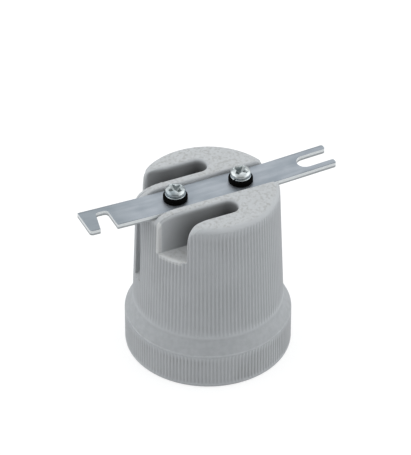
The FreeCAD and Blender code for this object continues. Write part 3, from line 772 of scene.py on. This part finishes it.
def eased(points, level, floor, floor_round, edge):
    """An outline at one level, narrower at the cut's floor and wider near the top face."""
    sunk = max(0.0, 1.0 - (level - floor) / floor_round)
    narrow = floor_round * (1.0 - math.sqrt(1.0 - sunk * sunk))
    outline = []
    for x, y, into_x, into_y, limit in points:
        low, high = 0.0, min(edge, limit)
        for _ in range(HALVINGS):
            spread = 0.5 * (low + high)
            face = face_level(x + into_x * spread, y + into_y * spread)
            rise = min(max(level - face + edge, 0.0), edge)
            if edge - math.sqrt(edge * edge - rise * rise) > spread:
                low = spread
            else:
                high = spread
        spread = 0.5 * (low + high) - narrow
        outline.append((x + into_x * spread, y + into_y * spread, level))
    return outline


def wire_slot(side):
    """A wire slot's room: round at its blind end and flared at its mouth, with soft edges."""
    half = SLOT_MIDDLE - SLOT_INNER
    loops = []
    for level in cut_levels(SLOT_FLOOR, SLOT_FLOOR_ROUND):
        curl = (max(0.0, min(level, TOP) - CURL_START) / (TOP - CURL_START)) ** 2
        bend = FLARE_RADIUS + (FLARE_TOP_RADIUS - FLARE_RADIUS) * curl
        lip = LIP_ROUND + (LIP_TOP_ROUND - LIP_ROUND) * curl
        points = mouth_corner(SLOT_INNER, -1, -1, drum_radius(level, 180.0), BAR_CORNER)
        points += wall_points(points[-1][0], SLOT_INNER, -1.0)
        for x, y in arc((SLOT_END, SLOT_MIDDLE), half, -90, 90, 20):
            points.append((x, y, (x - SLOT_END) / half, (y - SLOT_MIDDLE) / half, FREE))

        # The lip's round touches the flare and the drum's side, so two circles give its centre.
        flare = (FLARE_START, SLOT_OUTER + bend)
        apart = math.hypot(*flare)
        from_axis = drum_radius(level, LIP_TURN + LIP_TURN_CURL * curl) - lip
        from_flare = bend - lip
        along = (from_axis ** 2 - from_flare ** 2 + apart ** 2) / (2 * apart)
        aside = math.sqrt(from_axis ** 2 - along ** 2)
        unit = (flare[0] / apart, flare[1] / apart)
        centre = (unit[0] * along - unit[1] * aside, unit[1] * along + unit[0] * aside)
        inward = math.degrees(math.atan2(centre[1] - flare[1], centre[0] - flare[0]))
        outward = math.degrees(math.atan2(centre[1], centre[0])) - 360
        points += inward_arc(flare, bend, -90, inward, 14)
        points += inward_arc(centre, lip, inward, outward, 12)[1:]
        points.append(beyond(centre))
        outline = eased(points, level, SLOT_FLOOR, SLOT_FLOOR_ROUND, SLOT_EDGE)
        loops.append([(x, side * y, z) for x, y, z in outline])
    return loft("slot_room", loops)


def floor_lip(side):
    """The room that rounds off the edge where a wire slot's floor comes out of the drum's side."""
    edge = drum_side(SLOT_FLOOR) + 0.02
    loops = []
    for step in range(SILL_STEPS + 1):
        share = step / SILL_STEPS
        turn = math.radians(SILL_TURNS[0] + (SILL_TURNS[1] - SILL_TURNS[0]) * share)
        round_by = SILL_LEAST + SILL_GROWTH * math.sin(math.pi * share) ** 0.4
        back = edge - round_by - 0.1
        section = [(back, SLOT_FLOOR + 0.02)]
        for degrees in (12, 30, 48, 66, 84):
            lean = math.radians(degrees)
            section.append((edge - round_by + round_by * math.sin(lean),
                            SLOT_FLOOR - round_by + round_by * math.cos(lean)))
        section += [(edge + 0.6, SLOT_FLOOR - round_by), (edge + 0.6, SLOT_FLOOR + 0.3),
                    (back, SLOT_FLOOR + 0.3)]
        loops.append([(r * math.cos(turn), side * r * math.sin(turn), z) for r, z in section])
    return loft("lip_room", loops)


def strap_channel():
    """The room across the top in which the strap lies."""
    loops = []
    for level in cut_levels(CHANNEL_FLOOR, CHANNEL_FLOOR_ROUND):
        fork = mouth_corner(CHANNEL_HALF, 1, 1, drum_radius(level, 0.0), CHANNEL_CORNER)
        hook = mouth_corner(CHANNEL_HALF, 1, -1, drum_radius(level, 180.0), CHANNEL_CORNER)
        hook += wall_points(hook[-1][0], CHANNEL_HALF, 1.0)
        half = eased(fork + hook[::-1], level, CHANNEL_FLOOR, CHANNEL_FLOOR_ROUND, CHANNEL_EDGE)
        loops.append(half + [(x, -y, z) for x, y, z in reversed(half)])
    return loft("channel_room", loops)


def key_groove():
    """The narrow moulded groove down the hook end of the middle bar."""
    near, far = KEY_SIDES
    loops = []
    for level, back in KEY_ROWS:
        radius = max(drum_radius(min(level, KEY_TOP), 180.0), KEY_LEAST_RADIUS)
        low = [point[:2] for point in mouth_corner(near, -1, -1, radius, KEY_EDGE)]
        high = [point[:2] for point in mouth_corner(far, 1, -1, radius, KEY_EDGE)]
        inset = back - KEY_BACK_ROUND
        low += arc((inset, near + KEY_BACK_ROUND), KEY_BACK_ROUND, -90, 0, 3)
        low += arc((inset, far - KEY_BACK_ROUND), KEY_BACK_ROUND, 0, 90, 3)
        loops.append(lifted(low + high[::-1], level))
    return loft("key_room", loops)


def box_room(low, high):
    """The room of an upright box between two corners."""
    corners = [(low[0], low[1]), (high[0], low[1]), (high[0], high[1]), (low[0], high[1])]
    return loft("box_room", [lifted(corners, low[2]), lifted(corners, high[2])])


def pipe_room(centre, radius, low, high, size=48):
    """The room of an upright round hole."""
    return turned("pipe_room", [(radius, low), (radius, high)], size, centre)


def hexagon_room(place, width, low, high):
    """The room of a nut at a place along X."""
    corners = arc((place, 0.0), width / math.sqrt(3), 30, 330, 5)
    return loft("nut_room", [lifted(corners, low), lifted(corners, high)])


def well(side):
    """The room for a terminal at the end of a wire slot."""
    half = SLOT_MIDDLE - SLOT_INNER - WELL_GAP
    outline = [(WELL_START, -half)] + arc((SLOT_END, 0.0), half, -90, 90, 20) + [(WELL_START, half)]
    outline = [(x, side * (SLOT_MIDDLE + y)) for x, y in outline]
    return loft("well_room", [lifted(outline, WELL_FLOOR), lifted(outline, SLOT_FLOOR + 3.0)])


def make_porcelain():
    """The casting: its ribbed skin, with the bore, slots, channel, wells and holes cut out."""
    flared = MOUTH_RADIUS + MOUTH_ROUND
    rounding = [(flared - MOUTH_ROUND * math.sin(math.radians(a)),
                 MOUTH_ROUND - MOUTH_ROUND * math.cos(math.radians(a)))
                for a in (0, 15, 30, 45, 60, 75, 90)]
    # The mouth narrows to the bore in a sloping step.
    bore = turned("bore_room", [(flared, -2.0)] + rounding + [
        (MOUTH_RADIUS, 7.2), (16.28, 7.45), (14.12, 8.9), (BORE, 9.2), (BORE, LEDGE),
        (RECESS, LEDGE), (RECESS, INNER_FLOOR - 0.3), (RECESS - 0.3, INNER_FLOOR)], 240)
    first = joined(bore, wire_slot(1), wire_slot(-1))
    second = joined(strap_channel(), well(1), well(-1))
    third = [key_groove(), floor_lip(1), floor_lip(-1)]
    fourth = [box_room((-FOOT_NOTCH_HALF, -BORE, LEDGE - 0.1),
                       (FOOT_NOTCH_HALF, FOOT_NOTCH_START, INNER_FLOOR))]
    for side in (-1, 1):
        screw_at, wire_at = side * SCREW_PLACE, side * SLOT_MIDDLE
        third.append(pipe_room((screw_at, 0), STRAP_SCREW_HOLE,
                               INNER_FLOOR - PAST, CHANNEL_FLOOR + PAST))
        third.append(pipe_room((0, wire_at), TIE_SCREW_HOLE,
                               INNER_FLOOR - PAST, WELL_FLOOR + PAST))
        fourth.append(hexagon_room(screw_at, NUT_POCKET, INNER_FLOOR - PAST, NUT_SEAT))
        fourth.append(box_room((WIRE_SCREW_PLACE - TAIL_POCKET_HALF, wire_at - TAIL_POCKET_HALF,
                                TAIL_POCKET_FLOOR),
                               (WIRE_SCREW_PLACE + TAIL_POCKET_HALF, wire_at + TAIL_POCKET_HALF,
                                WELL_FLOOR + PAST)))
    skin = porcelain_skin()
    cut(skin, first, second, joined(*third), joined(*fourth))
    piece(skin, "holder", "porcelain", "porcelain_body", angle=30.0)


def thread_rows(radius, low, high, size):
    """Rows of radii for a screw thread that fades out at its upper end, and their levels."""
    levels = np.arange(low, high + 1e-6, THREAD_PITCH / ROWS_PER_TURN)
    rows = []
    for level in levels:
        phase = (level / THREAD_PITCH - even_turns(size) / (2 * math.pi)) % 1.0
        hollow = 1.0 - np.abs(2.0 * phase - 1.0)
        fade = min(1.0, (high - level) / THREAD_PITCH, (level - low) / (0.5 * THREAD_PITCH) + 0.25)
        rows.append(radius - THREAD_DEPTH * hollow * max(fade, 0.0))
    return rows, list(levels)


def screw(name, foot, seat, shank, thread_top, head, centre):
    """A screw from its tip at foot to its head above seat. head is a list of (radius, level)."""
    size = 48
    rows, levels = thread_rows(shank, foot + 0.25, thread_top, size)
    rows.insert(0, np.full(size, shank - 0.3))
    levels.insert(0, foot)
    for radius, level in [(shank, thread_top + 0.3), (shank, seat)] + head:
        rows.append(np.full(size, radius))
        levels.append(level)
    return loft(name, round_loops(rows, levels, centre))


def cross_recess(centre, top, degrees):
    """The tapering room of a cross recess."""
    loops = []
    for depth, arm, half, waist in CROSS_ROWS:
        quarter = ((arm, -half), (arm, half), (waist, waist))
        outline = []
        for number in range(4):
            outline += swung(quarter, centre, 90.0 * number + degrees)
        loops.append(lifted(outline, top - depth))
    return loft("cross_room", loops)


def driver_slot(centre, low, high, degrees):
    """The room of a straight slot across a screw's head."""
    half, reach = DRIVER_SLOT_HALF, DRIVER_SLOT_REACH
    outline = ((-reach, -half), (reach, -half), (reach, half), (-reach, half))
    outline = swung(outline, centre, degrees)
    return loft("driver_room", [lifted(outline, low), lifted(outline, high)])


def washer(name, centre, inner, outer, low, high, edge, gap=0.0, start=0.0):
    """A flat ring with rounded edges. A gap in degrees splits it."""
    section = []
    for corner, first in (((outer - edge, high - edge), 0), ((inner + edge, high - edge), 90),
                          ((inner + edge, low + edge), 180), ((outer - edge, low + edge), 270)):
        section += arc(corner, edge, first, first + 90, 3)
    size = 72
    span = 360.0 - gap
    loops = []
    for k in range(size + (1 if gap else 0)):
        angle = math.radians(start + gap / 2 + span * k / size)
        loops.append([(centre[0] + r * math.cos(angle), centre[1] + r * math.sin(angle), z)
                      for r, z in section])
    return loft(name, loops, closed=not gap)


def nut(name, centre, width, low, high, hole):
    """A hexagon nut whose corners are turned off at both ends."""
    size = 96
    sixth = math.pi / 3
    flats = width / 2 / np.cos((even_turns(size) + sixth / 2) % sixth - sixth / 2)
    rows = [np.minimum(flats, limit) for limit in NUT_RADII]
    levels = [low, low + NUT_BEVEL, high - NUT_BEVEL, high]
    for radius, level in ((hole + 0.25, high), (hole, high - 0.25), (hole, low + 0.25),
                          (hole + 0.25, low)):
        rows.append(np.full(size, radius))
        levels.append(level)
    return loft(name, round_loops(rows, levels, centre), closed=True)


def make_strap_fasteners():
    """The two pan-head screws with their spring washers, black washers and nuts."""
    washer_top = STRAP_TOP + BLACK_WASHER
    seat = washer_top + SPRING_WASHER
    head = [(2.35, seat), (2.60, seat + 0.12), (2.92, seat + 0.36), (2.95, seat + 0.6)]
    head += [(1.62 + 1.33 * x, seat + 0.56 + 1.2 * y) for x, y in arc((0, 0), 1.0, 8, 74, 7)]
    head += [(1.5, seat + 1.8), (0.9, seat + 1.87), (0.35, seat + HEAD_HEIGHT)]
    for side, end, facing in ((-1, "hook_end", 14.0), (1, "fork_end", 38.0)):
        centre = (side * SCREW_PLACE, 0.0)
        made = screw("%s_pan_screw" % end, SCREW_FOOT, seat, SCREW_SHANK, SCREW_THREAD_TOP, head,
                     centre)
        cut(made, cross_recess(centre, seat + HEAD_HEIGHT, facing))
        piece(made, "holder", "zinc_plate", "%s_screw" % end)
        split = washer("%s_split_ring" % end, centre, WASHER_HOLE, SPRING_WASHER_RADIUS,
                       washer_top, seat, 0.18, SPRING_WASHER_GAP, 150.0 + 60.0 * side)
        piece(split, "holder", "zinc_plate", "%s_spring_washer" % end)
        black = washer("%s_black_ring" % end, centre, WASHER_HOLE, BLACK_WASHER_RADIUS,
                       STRAP_TOP, washer_top, 0.3)
        piece(black, "holder", "black_washer", "%s_washer" % end)
        hexagon = nut("%s_hexagon_nut" % end, centre, NUT_WIDTH, NUT_FOOT, NUT_SEAT, NUT_HOLE)
        piece(hexagon, "holder", "zinc_plate", "%s_nut" % end)


def make_wire_fasteners():
    """The slotted screws on the terminals and those that hold the inner contacts."""
    seat = WIRE_SCREW_SEAT
    head = [(2.3, seat), (2.45, seat + 0.15), (2.45, seat + 1.45), (2.34, seat + 1.68),
            (2.05, seat + 1.79), (0.4, seat + 1.8)]
    for side, pole in ((1, "live"), (-1, "neutral")):
        centre = (WIRE_SCREW_PLACE, side * SLOT_MIDDLE)
        made = screw("%s_cheese_screw" % pole, WIRE_SCREW_FOOT, seat, WIRE_SCREW_SHANK,
                     WIRE_SCREW_THREAD_TOP, head, centre)
        cut(made, driver_slot(centre, seat + 0.9, seat + 3.0, 24.0 * side))
        piece(made, "%s_screw_body" % pole, "zinc_plate", "%s_wire_screw" % pole)
    tip = TIE_SCREW_TIP
    ties = ((1, "contact_screw", CONTACT_SHEET), (-1, "shell_screw", SHELL_SHEET))
    for side, node, sheet in ties:
        centre = (0.0, side * SLOT_MIDDLE)
        under = INNER_FLOOR - sheet
        rows = [(0.4, under - 1.4), (1.85, under - 1.39), (2.12, under - 1.28),
                (2.2, under - 1.05), (2.2, under), (1.2, under), (1.2, tip - 0.3), (1.0, tip)]
        made = turned("%s_inner" % node, rows, 48, centre)
        cut(made, driver_slot(centre, under - 3.0, under - 0.5, 31.0 * side))
        piece(made, "holder", "brass", node)


def make_shell():
    """The lamp's shell: sheet rolled into a round thread, with a bent foot."""
    turns = even_turns(144)
    levels = np.linspace(SHELL_FOOT, LEDGE, 66)
    inside = []
    for level in levels:
        phase = level / SHELL_PITCH - turns / (2 * math.pi)
        wave = 0.5 - 0.5 * np.cos(2 * math.pi * phase)
        fade = min(1.0, max(0.0, (level - SHELL_FOOT - 0.5) / SHELL_RUN_OUT),
                   max(0.0, (LEDGE - level - 0.3) / SHELL_RUN_OUT))
        inside.append(SHELL_ROOT - SHELL_WAVE * wave * fade)
    rows = [row + SHELL_SHEET for row in inside] + inside[::-1]
    heights = list(levels) + list(levels)[::-1]
    wall = loft("rolled_shell", round_loops(rows, heights), closed=True)
    # The foot goes up the shell's side and turns in under the porcelain's inner floor.
    path = [(-13.45, LEDGE - 1.0), (-13.45, 28.9)] + arc((-12.55, 28.9), 0.9, 180, 90, 5)
    path += [(-12.0, 29.8), (-7.95, 29.8)]
    foot = bent_strip("shell_foot", path, 3.0, SHELL_SHEET)
    cut(foot, pipe_room((0.0, -SLOT_MIDDLE), TIE_TAPPED_HOLE, 29.0, 31.0, 32))
    piece(joined(wall, foot), "holder", "plated_shell", "screw_shell", angle=40.0)


def make_contact():
    """The centre contact: a bent spring strip."""
    # From the pad under its screw to the free end
    corners = [(12.5, 29.7), (7.72, 29.7), (2.55, 25.8), (-2.55, 25.8), (-3.7, 26.95)]
    path = [corners[0]]
    for number in range(1, len(corners) - 1):
        here = Vector(corners[number])
        back = (Vector(corners[number - 1]) - here).normalized()
        ahead = (Vector(corners[number + 1]) - here).normalized()
        for share in (1.0, 0.5, 0.0, -0.5, -1.0):
            way = back if share > 0 else ahead
            ease = (back + ahead) * 0.12 * (1.0 - abs(share))
            path.append(tuple(here + way * (CONTACT_BEND * abs(share)) + ease))
    path.append(corners[-1])
    leaf = bent_strip("contact_leaf", path, 2.5, CONTACT_SHEET)
    cut(leaf, pipe_room((0.0, SLOT_MIDDLE), TIE_TAPPED_HOLE, 29.0, 31.0, 32))
    piece(leaf, None, "contact_strip", "centre_contact", angle=40.0)
    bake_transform(leaf)


def dress_cad_nodes():
    """Materials for the pieces that come straight from the solids."""
    slots = {row["node"]: row["material_slot"] for row in frame["record"]["subparts"]}
    for name in ("mounting_strap", "live_terminal", "neutral_terminal", "live_clamp",
                 "neutral_clamp"):
        node = NODES[name]
        node.data.materials.clear()
        node.data.materials.append(MATERIALS[slots[name]])


def make_floor():
    """A plain pale floor that shows white but still takes the object's shadow."""
    half = 1.5
    mesh = bpy.data.meshes.new("studio_floor")
    corners = [(-half, -half, 0), (half, -half, 0), (half, half, 0), (-half, half, 0)]
    mesh.from_pydata(corners, [], [(0, 1, 2, 3)])
    floor = bpy.data.objects.new("studio_floor", mesh)
    bpy.context.scene.collection.objects.link(floor)
    made = bpy.data.materials.new("pale_floor")
    made.use_nodes = True
    board = Board(made.node_tree)
    seen = board.add("ShaderNodeLightPath", out="Is Camera Ray")
    grain = board.noise(3.0, 2.0)
    tone = board.mix(grain, (0.54, 0.54, 0.55), (0.58, 0.58, 0.59))
    board.finish(board.add("ShaderNodeBsdfPrincipled", None, {
        "Base Color": board.mix(seen, tone, (0.30, 0.30, 0.30)),
        "Roughness": 0.9,
        "Specular IOR Level": 0.0,
        "Emission Color": board.mix(seen, (0.0, 0.0, 0.0), (0.76, 0.76, 0.76)),
        "Emission Strength": 1.0,
    }))
    mesh.materials.append(made)


def make_light():
    """A light tent: brightest above, behind and at both sides, and dimmest behind the camera."""
    world = bpy.data.worlds.new("light_tent")
    bpy.context.scene.world = world
    world.use_nodes = True
    board = Board(world.node_tree)
    east, north, up = board.split(board.add("ShaderNodeTexCoord", out="Generated"))
    behind = east * AHEAD_EAST + north * AHEAD_NORTH
    aside = abs(east * AHEAD_NORTH - north * AHEAD_EAST)
    high_behind = behind * BRIGHT_AHEAD + up * BRIGHT_UP
    glow = 0.27 + up.ramp(0.1, 1.0, 0.0, 0.60) + aside.ramp(0.4, 1.0, 0.0, 1.35)
    glow = glow + behind.ramp(-0.9, 0.4, 0.0, 0.12) + high_behind.ramp(0.5, 0.98, 0.0, 0.30)
    tent = board.add("ShaderNodeBackground", None, {
        "Color": (0.97, 0.99, 1.0, 1.0), "Strength": glow})
    white = board.add("ShaderNodeBackground", None, {
        "Color": (1.0, 1.0, 1.0, 1.0), "Strength": 1.0})
    seen = board.add("ShaderNodeLightPath", out="Is Camera Ray")
    shown = board.add("ShaderNodeMixShader", None, {0: seen, 1: tent, 2: white})
    board.add("ShaderNodeOutputWorld", None, {"Surface": shown})


def make_camera():
    """The camera at the photo's angle."""
    data = bpy.data.cameras.new("photo_camera")
    data.lens = CAMERA_LENS
    data.sensor_width = 36.0
    data.clip_start = 0.01
    data.clip_end = 20.0
    camera = bpy.data.objects.new("photo_camera", data)
    camera.location = Vector(CAMERA_PLACE) * MM
    ahead = Vector(CAMERA_AIM) * MM - camera.location
    camera.rotation_euler = ahead.to_track_quat("-Z", "Y").to_euler()
    bpy.context.scene.collection.objects.link(camera)
    bpy.context.scene.camera = camera
    bpy.context.scene.view_settings.view_transform = "Standard"


make_porcelain()
make_strap_fasteners()
make_wire_fasteners()
make_shell()
make_contact()
dress_cad_nodes()
make_floor()
make_light()
make_camera()

bpy.context.view_layer.update()
